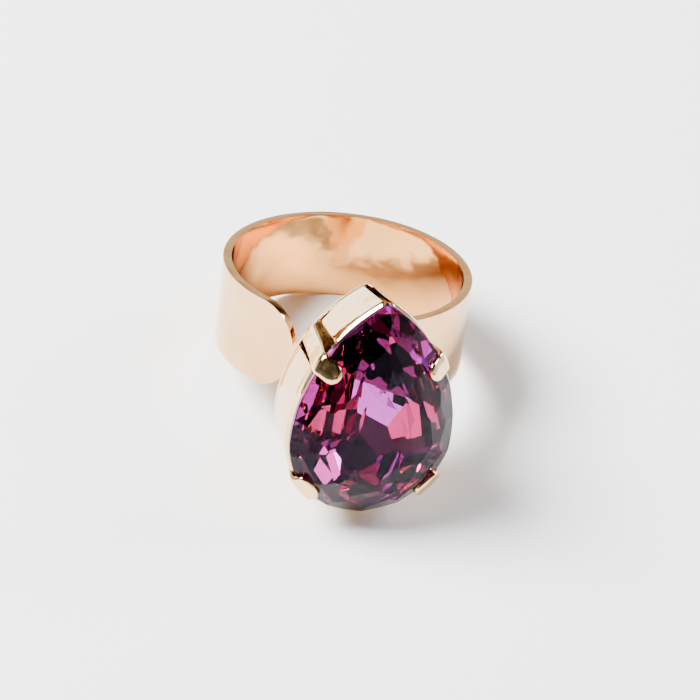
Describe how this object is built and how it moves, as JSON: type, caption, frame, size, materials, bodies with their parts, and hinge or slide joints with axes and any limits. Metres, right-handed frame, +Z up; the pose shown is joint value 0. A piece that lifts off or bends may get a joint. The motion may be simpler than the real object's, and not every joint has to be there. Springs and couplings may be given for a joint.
{
  "type": "cocktail ring",
  "caption": "Adjustable cocktail ring: a wide open band with a pear-shaped faceted stone in a claw setting.",
  "frame": {"origin": "centre of the ring's footprint on the table it lies on, at table height", "axes": "+Z up from the table; the stone faces -Y and slightly up; +X to the right seen from in front of the stone. The finger axis leans back 14.4 degrees and sideways 5.2 degrees, as the ring lies on a flat table."},
  "size_m": [0.0208, 0.03, 0.0186],
  "materials": {
    "band_gold": "polished rose-gold plate",
    "setting_gold": "polished pale-gold plate",
    "crystal": "faceted, polished, deep purple",
    "foil": "mirror coating",
    "solder": "smooth, plated over"
  },
  "bodies": {
    "setting": {"band_fixed_arm": "band_gold", "claw_lower_left": "setting_gold", "claw_lower_right": "setting_gold", "claw_upper_left": "setting_gold", "claw_upper_right": "setting_gold", "crystal": "crystal", "foil_backing": "foil", "setting_base": "setting_gold", "solder_joint": "solder", "wall_foot": "setting_gold", "wall_left": "setting_gold", "wall_right": "setting_gold", "wall_tip_left": "setting_gold", "wall_tip_right": "setting_gold"},
    "free_arm": {"band_free_arm": "band_gold"}
  },
  "joints": [
    {"name": "band_flex", "type": "hinge", "parent": "setting", "child": "free_arm", "pos_m": [-0.00022, 0.01376, 0.00374], "axis": [-0.0878, -0.2487, -0.9646], "range_deg": [-8, 14]}
  ]
}
